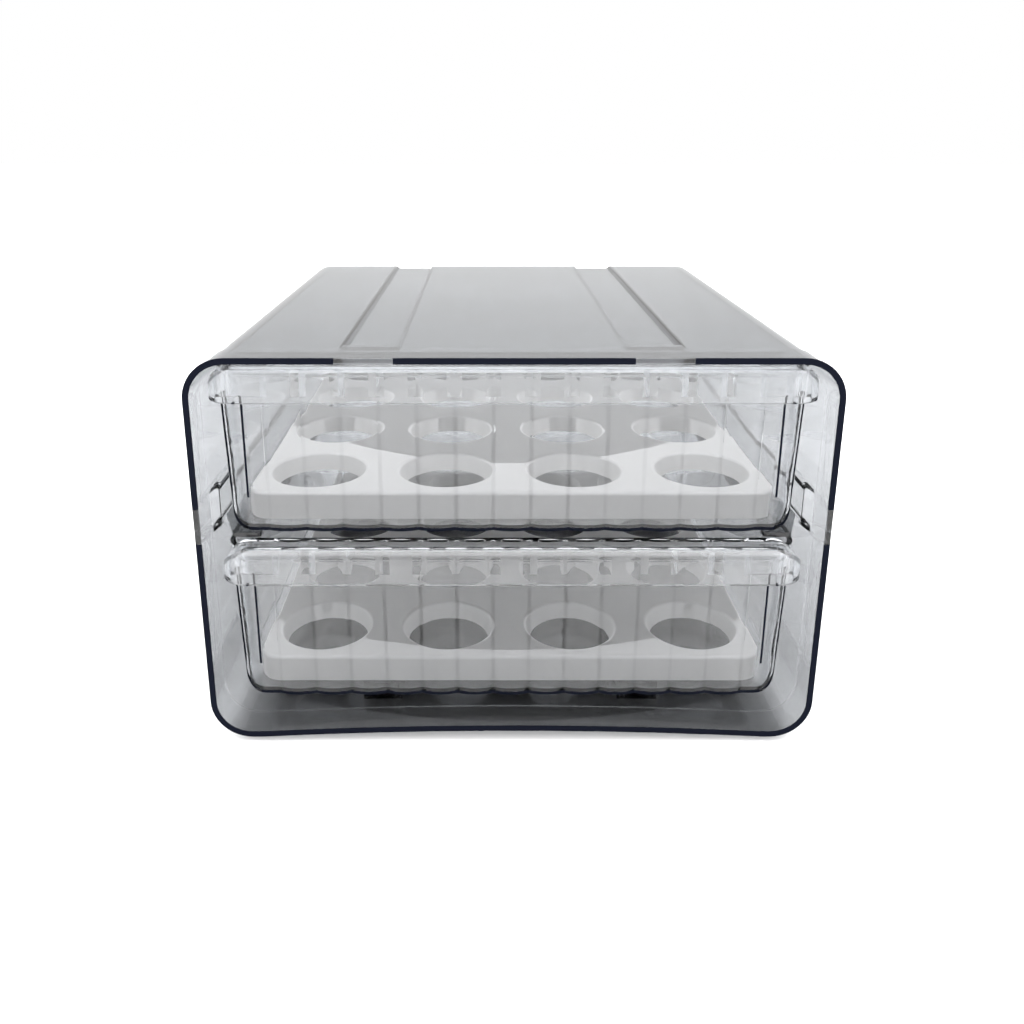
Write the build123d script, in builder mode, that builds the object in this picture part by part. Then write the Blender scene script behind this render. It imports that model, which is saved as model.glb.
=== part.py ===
from build123d import *
from math import sqrt
import os

# A clear egg box for a refrigerator shelf: an outer case, open at the front, holds two drawers, one above
# the other, and each drawer holds a loose tray with a grid of egg holes. Millimetres. X is the width,
# +Y runs from the open front to the back, +Z is up. The origin is under the middle, where the box stands.

# Outer case. Setbacks are measured back from the front face of the rim band.
case_width = 211.0
case_depth = 209.0
rim_height = 138.3
rim_radius = 14.0
rim_depth = 13.0
rim_step = 0.5  # how far the rim band stands out of the body behind it
case_wall = 1.6
floor_arch = 2.4  # the floor rises this much towards the middle
arch_half_span = 88.0
back_round = 3.0
rim_edge_round = 0.3

# Channels pressed into the top, where a second box stands, and into the sides
top_channel_inner_x = 38.1
top_channel_outer_x = 56.8
side_channel_bottom = 76.5
side_channel_top = 89.0
channel_depth = 1.5
channel_slope = 1.2
channel_setback = 20.5
channel_ramp = 7.0  # the side channels fade out over this length at their front ends

# Gutters in the floor: feet outside, runners of the lower drawer inside
foot_drop = 2.0  # how far the feet reach below the rim band
gutter_inner_x = 40.8
gutter_outer_x = 54.2
gutter_wall = 2.2
foot_plate = 2.0
runner_setback = 17.0
foot_setback = 24.0
foot_back_gap = 8.0
rib_root_z = 5.5  # within the arched floor's thickness, where the ribs above it and the feet below it meet

# Shelves that carry the upper drawer: the nose stands clear of the wall, which the shelf meets further back
shelf_inner_x = 86.0
shelf_nose_x = 95.5
shelf_thickness = 1.6
shelf_setback = 9.0
shelf_root_setback = 30.0
shelf_corner = 1.5

# Drawers. Heights are measured up from a drawer's underside.
lower_drawer_z = 12.8
upper_drawer_z = 77.0
running_gap = 0.3  # under a drawer, and under a tray
drawer_bottom_width = 195.2
drawer_top_width = 199.6
drawer_height = 57.0
drawer_back = 205.0
drawer_wall = 1.8
drawer_corner = 10.0
drawer_bottom_round = 8.5
flute_count = 13
flute_pitch = 12.8
flute_rise = 1.1
flute_setback = 9.4  # the crests of the flutes

# Pull lip: a hood across the top of the drawer's front, open below for the fingers
lip_setback = 1.0
lip_back = 11.6
lip_top = 60.8
lip_bottom = 48.0
lip_end_round = 10.0
lip_corner = 11.5
lip_edge_round = 4.0

# Egg trays
tray_width = 184.1
tray_setback = 15.8
tray_length = 184.5
tray_height = 10.0
tray_wall = 2.0
tray_corner = 8.0
tray_edge_round = 1.5
egg_pitch = 47.0
eggs_per_row = 4
collar_top_radius = 17.3  # inside, level with the top of the tray
collar_bottom_radius = 15.5
collar_height = 6.5
collar_wall = 1.6
collar_round = 1.2
first_row_setback = 38.1

# Worked out from the dimensions above
front_y = -case_depth / 2
rim_bottom = foot_drop
body_top = rim_bottom + rim_height - rim_step
body_side_x = case_width / 2 - rim_step
inner_inset = rim_step + case_wall
inner_side_x = body_side_x - case_wall
inner_back = case_depth - case_wall
side_channel_height = side_channel_top - side_channel_bottom
flute_radius = ((flute_pitch / 2) ** 2 + flute_rise**2) / (2 * flute_rise)
lean = (drawer_top_width - drawer_bottom_width) / 2 / lip_top


def facing(setback):
    """The upright plane at a setback from the rim, facing forward: local x is +X and local y is +Z."""
    return Plane.XZ.offset(-(front_y + setback))


def case_outline(setback, inset):
    """The rim band's outline drawn in by inset, with the arched floor."""
    width = case_width - 2 * inset
    height = rim_height - 2 * inset
    bottom = rim_bottom + inset
    with BuildSketch(facing(setback)) as outline:
        with Locations((0, bottom + height / 2)):
            RectangleRounded(width, height, rim_radius - inset)
        with BuildLine():
            Line((-arch_half_span, bottom), (arch_half_span, bottom))
            ThreePointArc((-arch_half_span, bottom), (0, bottom + floor_arch), (arch_half_span, bottom))
        make_face(mode=Mode.SUBTRACT)
    return outline.sketch


def channel_section(middle, width, surface, inward, deeper):
    """Corners of a channel's sloping section: across the surface, then into the case."""
    mouth = width / 2 + deeper
    floor = mouth - channel_slope
    level = surface + inward * (channel_depth + deeper)
    mouth_corners = [(middle - mouth, surface), (middle + mouth, surface)]
    return mouth_corners + [(middle + floor, level), (middle - floor, level)]


def channel_sections(deeper=0.0):
    """The sections of the two top channels and the two side channels, made deeper and wider by deeper."""
    top_middle = (top_channel_inner_x + top_channel_outer_x) / 2
    top_width = top_channel_outer_x - top_channel_inner_x
    side_middle = (side_channel_bottom + side_channel_top) / 2
    side_width = side_channel_top - side_channel_bottom
    sections = []
    for side in (-1, 1):
        sections.append(channel_section(side * top_middle, top_width, body_top, -1, deeper))
        upright = channel_section(side_middle, side_width, side * body_side_x, -side, deeper)
        sections.append([(x, z) for z, x in upright])
    return sections


def side_ramps(deeper):
    """The plan of the sloping front ends of the side channels, made deeper by deeper."""
    start = front_y + channel_setback - channel_ramp
    level = body_side_x - channel_depth - deeper
    with BuildSketch(Plane.XY.offset(side_channel_bottom - deeper)) as ramps:
        for side in (-1, 1):
            slope = [(side * (body_side_x - deeper), start), (side * level, start + channel_ramp)]
            outside = [(side * case_width, start + channel_ramp), (side * case_width, start)]
            Polygon(slope + outside, align=None)
    return ramps.sketch


def flute_front_y(inset):
    """Where the flutes' cusps lie and how far the crests stand out, for a surface set in by inset."""
    radius = flute_radius - inset
    rise = radius - sqrt(radius**2 - (flute_pitch / 2) ** 2)
    crest_y = front_y + flute_setback + inset
    return crest_y + rise, rise


def drawer_plan(height, half_width, inset):
    """The drawer's plan at one height: fluted front, rounded corners, straight sides and back."""
    radius = drawer_corner - inset
    side = half_width - inset
    corner = side - radius
    back = front_y + drawer_back - inset
    cusp_y, rise = flute_front_y(inset)
    flutes_end = flute_count * flute_pitch / 2
    with BuildSketch(Plane.XY.offset(height)) as plan:
        with BuildLine():
            Line((-corner, cusp_y), (-flutes_end, cusp_y))
            for flute in range(flute_count):
                x = flute * flute_pitch - flutes_end
                ThreePointArc((x, cusp_y), (x + flute_pitch / 2, cusp_y - rise), (x + flute_pitch, cusp_y))
            Line((flutes_end, cusp_y), (corner, cusp_y))
            RadiusArc((corner, cusp_y), (side, cusp_y + radius), -radius)
            Line((side, cusp_y + radius), (side, back - radius))
            RadiusArc((side, back - radius), (corner, back), -radius)
            Line((corner, back), (-corner, back))
            RadiusArc((-corner, back), (-side, back - radius), -radius)
            Line((-side, back - radius), (-side, cusp_y + radius))
            RadiusArc((-side, cusp_y + radius), (-corner, cusp_y), -radius)
        make_face()
    return plan.sketch


def drawer_elevation(base, inset, top):
    """The drawer's section from the front: leaning sides and rounded lower corners."""
    low = drawer_bottom_width / 2 + lean * inset - inset
    high = drawer_bottom_width / 2 + lean * top - inset
    radius = drawer_bottom_round - inset
    corners = [(-high, base + top), (-low, base + inset), (low, base + inset), (high, base + top)]
    with BuildSketch(facing(0)) as section:
        with BuildLine():
            FilletPolyline(corners, radius=[0, radius, radius, 0], close=True)
        make_face()
    return section.sketch


def drawer_block(base, inset, top):
    """A solid block with the drawer's outside shape, set in by inset at the sides and below."""
    bottom_half = drawer_bottom_width / 2
    with BuildPart() as block:
        low_plan = drawer_plan(base + inset, bottom_half + lean * inset, inset)
        high_plan = drawer_plan(base + top, bottom_half + lean * top, inset)
        loft([low_plan.face(), high_plan.face()], ruled=True)
        extrude(drawer_elevation(base, inset, top), amount=-case_depth, mode=Mode.INTERSECT)
    return block.part


def lip_block(base, inset, back, bottom):
    """A solid block with the pull lip's outside shape, set in by inset at the front, ends and top."""
    side = drawer_top_width / 2 - inset
    top = base + lip_top - inset
    front = front_y + lip_setback + inset
    with BuildPart() as block:
        with BuildSketch(Plane.XY.offset(base + bottom)) as plan:
            with Locations((0, front)):
                Rectangle(2 * side, case_depth, align=(Align.CENTER, Align.MIN))
            fillet(plan.vertices().group_by(Axis.Y)[0], radius=lip_end_round - inset)
        extrude(amount=top - base - bottom)
        with BuildSketch(facing(0)) as front_view:
            with Locations((0, top)):
                upper_middle = (Align.CENTER, Align.MAX)
                RectangleRounded(2 * side, 4 * lip_corner, lip_corner - inset, align=upper_middle)
        extrude(amount=-case_depth, mode=Mode.INTERSECT)
        with BuildSketch(Plane.YZ) as side_view:
            with Locations((front, top)):
                upper_front = (Align.MIN, Align.MAX)
                RectangleRounded(case_depth, 4 * lip_corner, lip_edge_round - inset, align=upper_front)
        extrude(amount=case_width, both=True, mode=Mode.INTERSECT)
        split(bisect_by=facing(back), keep=Keep.TOP)
    return block.part


def make_drawer(base):
    """One drawer: a fluted box with its hooded pull lip."""
    with BuildPart() as drawer:
        add(drawer_block(base, 0, drawer_height))
        add(lip_block(base, 0, lip_back, lip_bottom))
        hood_hollow = lip_block(base, drawer_wall, lip_back - drawer_wall, lip_bottom - drawer_wall)
        add(hood_hollow - drawer_block(base, 0, lip_top), mode=Mode.SUBTRACT)
        add(drawer_block(base, drawer_wall, drawer_height + drawer_wall), mode=Mode.SUBTRACT)
    return drawer


def make_tray(drawer_base):
    """One egg tray: a plate with a skirt round it and a grid of collared egg holes, open below."""
    clearance = drawer_wall + running_gap
    base = drawer_base + clearance
    top = base + tray_height
    middle_y = front_y + tray_setback + tray_length / 2
    holes_y = front_y + first_row_setback + egg_pitch * (eggs_per_row - 1) / 2
    hollow_width = tray_width - 2 * tray_wall
    hollow_length = tray_length - 2 * tray_wall
    hanging = (Align.CENTER, Align.CENTER, Align.MAX)
    with BuildPart() as tray:
        with BuildSketch(Plane.XY.offset(base)):
            with Locations((0, middle_y)):
                RectangleRounded(tray_width, tray_length, tray_corner)
        extrude(amount=tray_height)
        fillet(tray.faces().sort_by(Axis.Z)[-1].edges(), radius=tray_edge_round)
        # The skirt's lower edge is bevelled to clear the drawer's rounded corners
        drawer_inside = drawer_elevation(drawer_base, clearance, drawer_height)
        extrude(drawer_inside, amount=-case_depth, mode=Mode.INTERSECT)
        with BuildSketch(Plane.XY.offset(base)):
            with Locations((0, middle_y)):
                RectangleRounded(hollow_width, hollow_length, tray_corner - tray_wall)
        extrude(amount=tray_height - tray_wall, mode=Mode.SUBTRACT)
        with Locations((0, holes_y, top)):
            with GridLocations(egg_pitch, egg_pitch, eggs_per_row, eggs_per_row):
                low_outside = collar_bottom_radius + collar_wall
                high_outside = collar_top_radius + collar_wall
                Cone(low_outside, high_outside, collar_height, align=hanging)
                low_inside = collar_bottom_radius
                high_inside = collar_top_radius
                Cone(low_inside, high_inside, collar_height, align=hanging, mode=Mode.SUBTRACT)
        fillet(tray.faces().sort_by(Axis.Z)[-1].inner_wires().edges(), radius=collar_round)
    return tray


# The case's hollow, which leaves the wall as thick under the channels as elsewhere
with BuildPart() as case_hollow:
    extrude(case_outline(0, inner_inset), amount=-inner_back)
    for section in channel_sections(case_wall):
        with BuildSketch(facing(channel_setback - case_wall)):
            Polygon(section, align=None)
        extrude(amount=-case_depth, mode=Mode.SUBTRACT)
    extrude(side_ramps(case_wall), amount=side_channel_height + 2 * case_wall, mode=Mode.SUBTRACT)

# Outer case: a shell with a raised rim band, channels, shelves, and gutters in its floor
with BuildPart() as outer_case:
    extrude(case_outline(0, rim_step), amount=-case_depth)
    fillet(outer_case.faces().sort_by(Axis.Y)[-1].edges(), radius=back_round)
    extrude(case_outline(0, 0), amount=-rim_depth)
    for section in channel_sections():
        with BuildSketch(facing(channel_setback)):
            Polygon(section, align=None)
        extrude(amount=-case_depth, mode=Mode.SUBTRACT)
    extrude(side_ramps(0), amount=side_channel_height, mode=Mode.SUBTRACT)
    add(case_hollow.part, mode=Mode.SUBTRACT)
    fillet(outer_case.faces().sort_by(Axis.Y)[0].edges(), radius=rim_edge_round)

    # Shelves of the upper drawer, one on each side: a narrow nose in front that widens back into the wall
    back_overlap = case_wall / 2
    shelf_root_x = inner_side_x + back_overlap
    shelf_back = front_y + inner_back + back_overlap
    with BuildSketch(Plane.XY.offset(upper_drawer_z - running_gap - shelf_thickness)) as shelves:
        for side in (-1, 1):
            tip = front_y + shelf_setback
            nose = [(side * shelf_inner_x, tip), (side * shelf_nose_x, tip)]
            root = [(side * shelf_root_x, front_y + shelf_root_setback), (side * shelf_root_x, shelf_back)]
            Polygon(nose + root + [(side * shelf_inner_x, shelf_back)], align=None)
        fillet(shelves.vertices().group_by(Axis.Y)[0], radius=shelf_corner)
    extrude(amount=shelf_thickness)

    # Feet below the floor and runner ribs above it
    gutter_middle = (gutter_inner_x + gutter_outer_x) / 2
    gutter_width = gutter_outer_x - gutter_inner_x
    foot_length = case_depth - foot_back_gap - foot_setback
    with BuildSketch():
        with Locations((-gutter_middle, front_y + foot_setback), (gutter_middle, front_y + foot_setback)):
            Rectangle(gutter_width, foot_length, align=(Align.CENTER, Align.MIN))
    extrude(amount=rib_root_z)
    rib_offset = (gutter_width - gutter_wall) / 2
    rib_length = inner_back + back_overlap - runner_setback
    with BuildSketch(Plane.XY.offset(rib_root_z)):
        for side in (-1, 1):
            for edge in (-1, 1):
                with Locations((side * gutter_middle + edge * rib_offset, front_y + runner_setback)):
                    Rectangle(gutter_wall, rib_length, align=(Align.CENTER, Align.MIN))
    extrude(amount=lower_drawer_z - running_gap - rib_root_z)
    with BuildSketch(Plane.XY.offset(foot_plate)):
        for side in (-1, 1):
            with Locations((side * gutter_middle, front_y + foot_setback + gutter_wall)):
                gutter_length = foot_length - 2 * gutter_wall
                Rectangle(gutter_width - 2 * gutter_wall, gutter_length, align=(Align.CENTER, Align.MIN))
    extrude(amount=lower_drawer_z - foot_plate, mode=Mode.SUBTRACT)

lower_drawer = make_drawer(lower_drawer_z)
upper_drawer = make_drawer(upper_drawer_z)
lower_egg_tray = make_tray(lower_drawer_z)
upper_egg_tray = make_tray(upper_drawer_z)

pieces = {
    "outer_case": outer_case,
    "upper_drawer": upper_drawer,
    "lower_drawer": lower_drawer,
    "upper_egg_tray": upper_egg_tray,
    "lower_egg_tray": lower_egg_tray,
}
os.makedirs("parts", exist_ok=True)
for name, piece in pieces.items():
    piece.part.label = name
    export_step(piece.part, f"parts/{name}.step")
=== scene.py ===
"""A clear two-drawer egg box on a pale studio floor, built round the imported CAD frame."""

import math

import bpy
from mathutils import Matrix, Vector


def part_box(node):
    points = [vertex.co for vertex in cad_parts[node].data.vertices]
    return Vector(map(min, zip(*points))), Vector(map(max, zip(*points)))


# Camera: metres before the rim, above the feet and left of the middle, then degrees of downward tilt
CAMERA_BEFORE_RIM = 0.2722
CAMERA_HEIGHT = 0.2081
CAMERA_LEFT = 0.0084
CAMERA_TILT = 15.65
CAMERA_LENS = 31.5
CAMERA_SHIFT = (0.0239, -0.1246)

FLOOR_SIZE = 12.0
FLOOR_GAP = 0.0002

FRONT_LIGHT = 1.9
BACK_LIGHT = 1.0
TOP_LIGHT = 5.0

# The overhead light fades in between these heights of direction, and the front light into the back one
OVERHEAD = (0.45, 0.95)
FRONT_TO_BACK = (-0.9, 0.3)

SMOKE_DENSITY = 24.0
SMOKE_COLOUR = (0.10, 0.13, 0.20, 1.0)
CASE_TINT = (0.36, 0.37, 0.38, 1.0)
DRAWER_TINT = (0.90, 0.905, 0.91, 1.0)
# Near-black shade painted where the clear walls are seen edge-on
PAINTED_EDGE_SHADE = (0.006, 0.007, 0.012, 1.0)
# A lighter tint painted on the rim's front where the channels end, standing in for light passing there
PAINTED_GAP_LIGHT = (0.55, 0.56, 0.58, 1.0)
PLASTIC_IOR = 1.5
FLOW_SCALE = 28.0
CLEAR_ROUGHNESS = (0.01, 0.045)
WAVE_STRENGTH = 0.05
WAVE_HEIGHT = 0.001

WHITE_IOR = 1.48
WHITE_SCATTER = 0.15
WHITE_SCATTER_DEPTH = (0.003, 0.003, 0.003)
WHITE_SHADES = ((0.86, 0.865, 0.87, 1.0), (0.90, 0.90, 0.90, 1.0))
WHITE_ROUGHNESS = (0.32, 0.5)
MOTTLE_SCALE = 35.0
GRAIN_SCALE = 2200.0
GRAIN_STRENGTH = 0.08
GRAIN_HEIGHT = 0.0002

FLOOR_COLOUR = (0.85, 0.85, 0.855, 1.0)
FLOOR_ROUGHNESS = 0.7

LAMP_SIZE = (0.16, 0.10)
LAMP_POWER = 2.2
LAMP_PLACE = (0.42, 0.30, 0.62)
LAMP_AIM = 0.09

# Where the moulded walls are seen edge-on and look dark, so near-black shade is painted, and where a
# lighter tint is painted at the rim's channel ends, in metres
# A drawer's heights count from its own base
RIM_FACE = 0.0004
TOP_GAP = (0.0381, 0.0568)
SIDE_GAP = (0.0765, 0.0890)
DRAWER_BASES = {"lower_drawer": 0.0128, "upper_drawer": 0.0770}
CORNER_X = 0.0891
CORNER_ROUND = 0.0085
SIDE_LEAN = 2.2 / 60.8
OUTLINE_DEPTH = 0.0159
OUTLINE_NARROW = 0.0011
OUTLINE_WIDE = 0.0024
OUTLINE_HEIGHTS = (0.002, 0.014)
FLOOR_EDGE = 0.0011
FLOOR_EDGE_DEPTH = 0.0109
# Short near-black lines painted as shade on each drawer's front at the side folds
FOLD_LINE = (0.0893, 0.0901)
FOLD_FOOT = 0.012
SKIRT_FOOT = 0.0485


def new_material(name):
    """A material with an empty node tree, and its output node."""
    material = bpy.data.materials.new(name)
    material.use_nodes = True
    material.node_tree.nodes.clear()
    output = material.node_tree.nodes.new("ShaderNodeOutputMaterial")
    return material, material.node_tree, output


def math_node(tree, operation, first, second=None, third=None):
    """One arithmetic node on sockets or plain numbers; returns its output."""
    node = tree.nodes.new("ShaderNodeMath")
    node.operation = operation
    for number, value in enumerate((first, second, third)):
        if value is None:
            continue
        if isinstance(value, (int, float)):
            node.inputs[number].default_value = value
        else:
            tree.links.new(value, node.inputs[number])
    return node.outputs[0]


def within(tree, value, low, high):
    """1 where a value lies between low and high, otherwise 0."""
    above = math_node(tree, "GREATER_THAN", value, low)
    below = math_node(tree, "LESS_THAN", value, high)
    return math_node(tree, "MULTIPLY", above, below)


def spread(tree, value, source, target, interpolation="LINEAR"):
    """A value carried from the range source to the range target."""
    node = tree.nodes.new("ShaderNodeMapRange")
    node.interpolation_type = interpolation
    node.inputs["From Min"].default_value, node.inputs["From Max"].default_value = source
    node.inputs["To Min"].default_value, node.inputs["To Max"].default_value = target
    tree.links.new(value, node.inputs["Value"])
    return node.outputs["Result"]


def noise(tree, coordinates, scale, detail=2.0):
    """Noise in the piece's own frame; returns its level."""
    node = tree.nodes.new("ShaderNodeTexNoise")
    node.inputs["Scale"].default_value = scale
    node.inputs["Detail"].default_value = detail
    tree.links.new(coordinates.outputs["Object"], node.inputs["Vector"])
    return node.outputs["Fac"]


def bump(tree, level, strength, height, shell):
    """Fine relief on a shader's surface."""
    node = tree.nodes.new("ShaderNodeBump")
    node.inputs["Strength"].default_value = strength
    node.inputs["Distance"].default_value = height
    tree.links.new(level, node.inputs["Height"])
    tree.links.new(node.outputs["Normal"], shell.inputs["Normal"])


def object_axes(tree):
    """The distance from the middle plane, and the Y and Z places, in the piece's own frame."""
    coordinates = tree.nodes.new("ShaderNodeTexCoord")
    axes = tree.nodes.new("ShaderNodeSeparateXYZ")
    tree.links.new(coordinates.outputs["Object"], axes.inputs["Vector"])
    across = math_node(tree, "ABSOLUTE", axes.outputs["X"])
    return across, axes.outputs["Y"], axes.outputs["Z"]


def rim_shade_masks(tree, front, middle_z):
    """Masks of the case's rim seen edge-on: the band where near-black shade is painted, and the gaps where
    the channels end, where a lighter tint is painted instead.
    """
    across, y, z = object_axes(tree)
    face = math_node(tree, "LESS_THAN", y, front + RIM_FACE)
    top_gap = within(tree, across, *TOP_GAP)
    top_gap = math_node(tree, "MULTIPLY", top_gap, math_node(tree, "GREATER_THAN", z, middle_z))
    gap = math_node(tree, "MAXIMUM", top_gap, within(tree, z, *SIDE_GAP))
    gap = math_node(tree, "MULTIPLY", gap, face)
    return math_node(tree, "SUBTRACT", face, gap), gap


def drawer_shade_mask(tree, front, base):
    """Mask where near-black shade is painted on a drawer's walls seen edge-on: its sides, rounded lower
    corners, floor and front folds.
    """
    across, y, z = object_axes(tree)
    height = math_node(tree, "SUBTRACT", z, base)
    upright = math_node(tree, "MULTIPLY_ADD", height, -SIDE_LEAN, across)
    side = math_node(tree, "SUBTRACT", upright, CORNER_X)
    below = math_node(tree, "SUBTRACT", CORNER_ROUND, height)
    outer_side = math_node(tree, "MAXIMUM", side, 0.0)
    outer_below = math_node(tree, "MAXIMUM", below, 0.0)
    squares = math_node(tree, "MULTIPLY", outer_side, outer_side)
    squares = math_node(tree, "MULTIPLY_ADD", outer_below, outer_below, squares)
    away = math_node(tree, "SQRT", squares)
    inside = math_node(tree, "MINIMUM", math_node(tree, "MAXIMUM", side, below), 0.0)
    away = math_node(tree, "SUBTRACT", math_node(tree, "ADD", away, inside), CORNER_ROUND)
    width = spread(tree, height, OUTLINE_HEIGHTS, (-OUTLINE_NARROW, -OUTLINE_WIDE))
    outline = math_node(tree, "GREATER_THAN", away, width)
    near = math_node(tree, "LESS_THAN", y, front + OUTLINE_DEPTH)
    outline = math_node(tree, "MULTIPLY", outline, near)
    outline = math_node(tree, "MULTIPLY", outline, within(tree, height, FLOOR_EDGE, SKIRT_FOOT))
    nearest = math_node(tree, "LESS_THAN", y, front + FLOOR_EDGE_DEPTH)
    floor_edge = math_node(tree, "MULTIPLY", math_node(tree, "LESS_THAN", height, FLOOR_EDGE), nearest)
    fold = math_node(tree, "MULTIPLY", within(tree, across, *FOLD_LINE), nearest)
    fold = math_node(tree, "MULTIPLY", fold, within(tree, height, FOLD_FOOT, SKIRT_FOOT))
    return math_node(tree, "MAXIMUM", math_node(tree, "MAXIMUM", outline, floor_edge), fold)


def tinted(tree, tint, mask, colour):
    """A colour output: the tint, with another colour laid over it where the mask is 1."""
    mix = tree.nodes.new("ShaderNodeMix")
    mix.data_type = "RGBA"
    tree.links.new(mask, mix.inputs[0])
    mix.inputs[6].default_value = tint
    mix.inputs[7].default_value = colour
    return mix.outputs[2]


def smoke_plastic(name, tint):
    """Clear, smoke-tinted plastic; returns its material, tree, shader and the strength of its painted
    near-black edge shade.
    """
    material, tree, output = new_material(name)
    nodes, links = tree.nodes, tree.links
    shell = nodes.new("ShaderNodeBsdfPrincipled")
    shell.inputs["Base Color"].default_value = tint
    shell.inputs["Transmission Weight"].default_value = 1.0
    shell.inputs["IOR"].default_value = PLASTIC_IOR
    coordinates = nodes.new("ShaderNodeTexCoord")
    flow = noise(tree, coordinates, FLOW_SCALE, 3.0)
    links.new(spread(tree, flow, (0.0, 1.0), CLEAR_ROUGHNESS), shell.inputs["Roughness"])
    bump(tree, flow, WAVE_STRENGTH, WAVE_HEIGHT, shell)
    # A near-black sheet mixed in where the walls are seen edge-on: painted shade, not the plastic's colour
    edge = nodes.new("ShaderNodeBsdfDiffuse")
    edge.inputs["Color"].default_value = PAINTED_EDGE_SHADE
    painted_shade_mix = nodes.new("ShaderNodeMixShader")
    painted_shade_mix.inputs[0].default_value = 0.0
    links.new(shell.outputs["BSDF"], painted_shade_mix.inputs[1])
    links.new(edge.outputs["BSDF"], painted_shade_mix.inputs[2])
    passing = nodes.new("ShaderNodeBsdfTransparent")
    passing.inputs["Color"].default_value = (1.0, 1.0, 1.0, 1.0)
    light_path = nodes.new("ShaderNodeLightPath")
    mix = nodes.new("ShaderNodeMixShader")
    links.new(light_path.outputs["Is Shadow Ray"], mix.inputs[0])
    links.new(painted_shade_mix.outputs["Shader"], mix.inputs[1])
    links.new(passing.outputs["BSDF"], mix.inputs[2])
    links.new(mix.outputs["Shader"], output.inputs["Surface"])
    absorption = nodes.new("ShaderNodeVolumeAbsorption")
    absorption.inputs["Color"].default_value = SMOKE_COLOUR
    absorption.inputs["Density"].default_value = SMOKE_DENSITY
    links.new(absorption.outputs["Volume"], output.inputs["Volume"])
    return material, tree, shell, painted_shade_mix.inputs[0]


def case_plastic(front, middle_z):
    """The case's plastic, with near-black shade painted on the front of its rim, and a lighter tint
    painted where the channels end.
    """
    material, tree, shell, painted_shade_strength = smoke_plastic("smoke_clear_plastic", CASE_TINT)
    dark, gap = rim_shade_masks(tree, front, middle_z)
    tree.links.new(tinted(tree, CASE_TINT, gap, PAINTED_GAP_LIGHT), shell.inputs["Base Color"])
    tree.links.new(dark, painted_shade_strength)
    return material


def drawer_plastic(name, front):
    """A drawer's plastic, with near-black shade painted where its walls are seen edge-on from the front.
    """
    material, tree, _, painted_shade_strength = smoke_plastic(name + "_plastic", DRAWER_TINT)
    tree.links.new(drawer_shade_mask(tree, front, DRAWER_BASES[name]), painted_shade_strength)
    return material


def white_plastic():
    """Satin white moulded plastic of the egg trays."""
    material, tree, output = new_material("white_plastic")
    nodes, links = tree.nodes, tree.links
    shell = nodes.new("ShaderNodeBsdfPrincipled")
    shell.inputs["IOR"].default_value = WHITE_IOR
    shell.inputs["Subsurface Weight"].default_value = WHITE_SCATTER
    shell.inputs["Subsurface Radius"].default_value = WHITE_SCATTER_DEPTH
    coordinates = nodes.new("ShaderNodeTexCoord")
    mottle = noise(tree, coordinates, MOTTLE_SCALE, 4.0)
    shade = nodes.new("ShaderNodeValToRGB")
    for element, colour in zip(shade.color_ramp.elements, WHITE_SHADES):
        element.color = colour
    links.new(mottle, shade.inputs["Fac"])
    links.new(shade.outputs["Color"], shell.inputs["Base Color"])
    links.new(spread(tree, mottle, (0.0, 1.0), WHITE_ROUGHNESS), shell.inputs["Roughness"])
    bump(tree, noise(tree, coordinates, GRAIN_SCALE), GRAIN_STRENGTH, GRAIN_HEIGHT, shell)
    links.new(shell.outputs["BSDF"], output.inputs["Surface"])
    return material


def set_material(node, material):
    """Gives a CAD node its finished material."""
    slots = node.data.materials
    slots.clear()
    slots.append(material)


def pale_floor(level):
    """A wide pale floor under the box."""
    bpy.ops.mesh.primitive_plane_add(size=FLOOR_SIZE, location=(0.0, 0.0, level))
    floor = bpy.context.object
    floor.name = "floor"
    material, tree, output = new_material("pale_floor")
    shell = tree.nodes.new("ShaderNodeBsdfPrincipled")
    shell.inputs["Base Color"].default_value = FLOOR_COLOUR
    shell.inputs["Roughness"].default_value = FLOOR_ROUGHNESS
    tree.links.new(shell.outputs["BSDF"], output.inputs["Surface"])
    floor.data.materials.append(material)


def studio_world():
    """A white studio all round: brightest overhead, and brighter behind the camera than beyond the box."""
    world = bpy.data.worlds.new("studio")
    bpy.context.scene.world = world
    world.use_nodes = True
    world.cycles.sampling_method = "MANUAL"
    world.cycles.sample_map_resolution = 512
    tree = world.node_tree
    nodes, links = tree.nodes, tree.links
    background = nodes["Background"]
    background.inputs["Color"].default_value = (1.0, 1.0, 1.0, 1.0)
    direction = nodes.new("ShaderNodeTexCoord")
    axes = nodes.new("ShaderNodeSeparateXYZ")
    links.new(direction.outputs["Generated"], axes.inputs["Vector"])
    behind = spread(tree, axes.outputs["Y"], FRONT_TO_BACK, (FRONT_LIGHT, BACK_LIGHT), "SMOOTHSTEP")
    overhead = spread(tree, axes.outputs["Z"], OVERHEAD, (0.0, 1.0), "SMOOTHSTEP")
    strength = nodes.new("ShaderNodeMix")
    strength.inputs[3].default_value = TOP_LIGHT
    links.new(overhead, strength.inputs[0])
    links.new(behind, strength.inputs[2])
    links.new(strength.outputs[0], background.inputs["Strength"])


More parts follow.
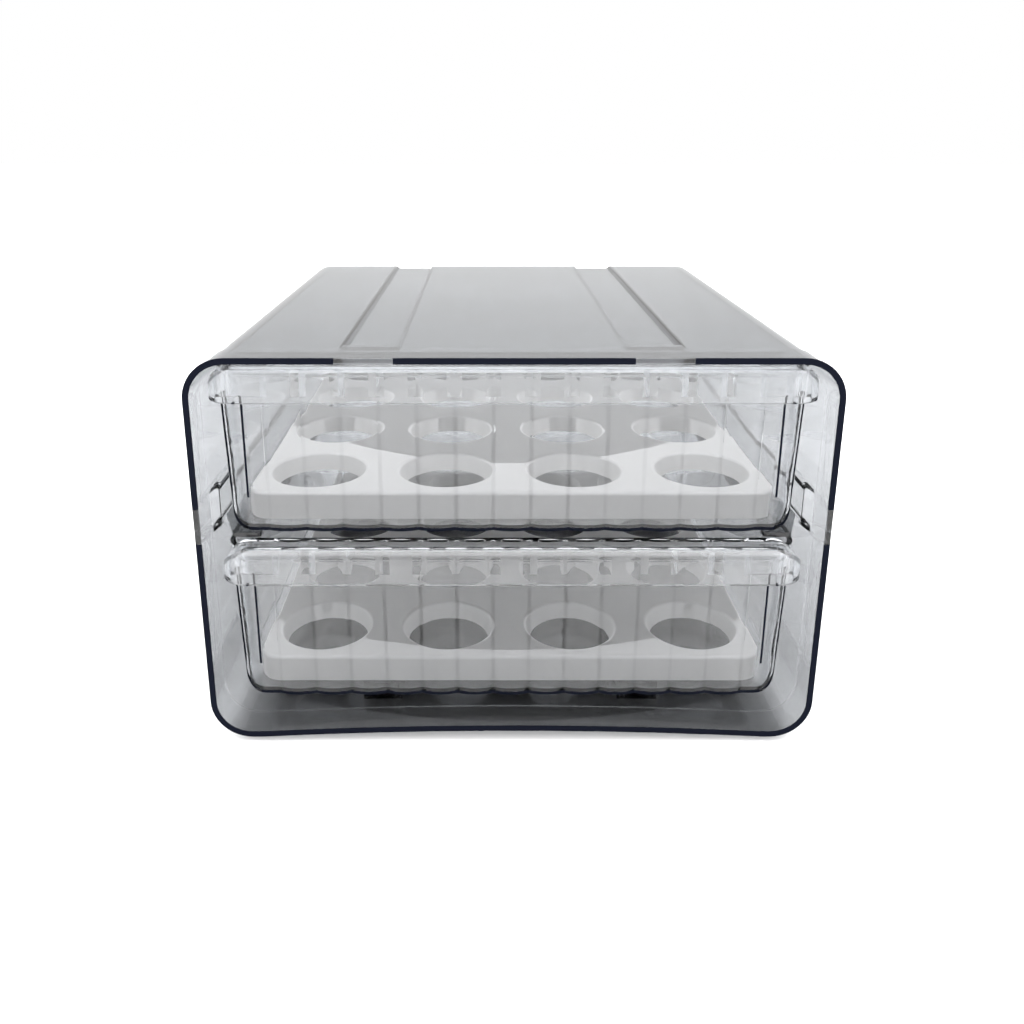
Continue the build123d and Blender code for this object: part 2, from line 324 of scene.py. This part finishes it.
def small_lamps(low):
    """Two small soft boxes high in front of the box, seen only as sparkle in its clear plastic."""
    for side in (-1, 1):
        data = bpy.data.lights.new("soft_box", "AREA")
        data.shape = "RECTANGLE"
        data.size, data.size_y = LAMP_SIZE
        data.energy = LAMP_POWER
        lamp = bpy.data.objects.new("soft_box", data)
        bpy.context.collection.objects.link(lamp)
        lamp.location = (side * LAMP_PLACE[0], low.y - LAMP_PLACE[1], LAMP_PLACE[2])
        aim = Vector((0.0, 0.0, LAMP_AIM)) - lamp.location
        lamp.rotation_euler = aim.to_track_quat("-Z", "Y").to_euler()
        lamp.visible_diffuse = False


def add_camera(low):
    """The camera, in front of the box and a little above it, looking slightly down."""
    data = bpy.data.cameras.new("camera")
    data.lens = CAMERA_LENS
    data.sensor_width = 36.0
    data.shift_x, data.shift_y = CAMERA_SHIFT
    data.clip_start = 0.01
    camera = bpy.data.objects.new("camera", data)
    bpy.context.collection.objects.link(camera)
    camera.location = (-CAMERA_LEFT, low.y - CAMERA_BEFORE_RIM, CAMERA_HEIGHT)
    camera.rotation_euler = (math.radians(90.0 - CAMERA_TILT), 0.0, 0.0)
    bpy.context.scene.camera = camera


def render_look():
    """Enough bounces for light to pass every clear wall, and colours shown as they are."""
    scene = bpy.context.scene
    scene.cycles.max_bounces = 32
    scene.cycles.transmission_bounces = 32
    scene.cycles.glossy_bounces = 8
    scene.cycles.diffuse_bounces = 4
    scene.cycles.transparent_max_bounces = 64
    scene.cycles.caustics_refractive = False
    scene.cycles.caustics_reflective = False
    scene.view_settings.view_transform = "Standard"


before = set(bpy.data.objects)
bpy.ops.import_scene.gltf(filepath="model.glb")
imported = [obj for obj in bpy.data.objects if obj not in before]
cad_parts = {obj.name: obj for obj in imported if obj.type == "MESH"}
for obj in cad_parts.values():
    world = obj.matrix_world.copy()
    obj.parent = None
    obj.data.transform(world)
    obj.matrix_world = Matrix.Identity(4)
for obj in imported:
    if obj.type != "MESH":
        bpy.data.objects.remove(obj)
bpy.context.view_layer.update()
low_corner, high_corner = (Vector(corner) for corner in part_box("outer_case"))
white = white_plastic()
set_material(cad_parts["outer_case"], case_plastic(low_corner.y, high_corner.z / 2))
for name in DRAWER_BASES:
    set_material(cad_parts[name], drawer_plastic(name, low_corner.y))
for name in ("lower_egg_tray", "upper_egg_tray"):
    set_material(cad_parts[name], white)
pale_floor(-FLOOR_GAP)
studio_world()
small_lamps(low_corner)
add_camera(low_corner)
render_look()

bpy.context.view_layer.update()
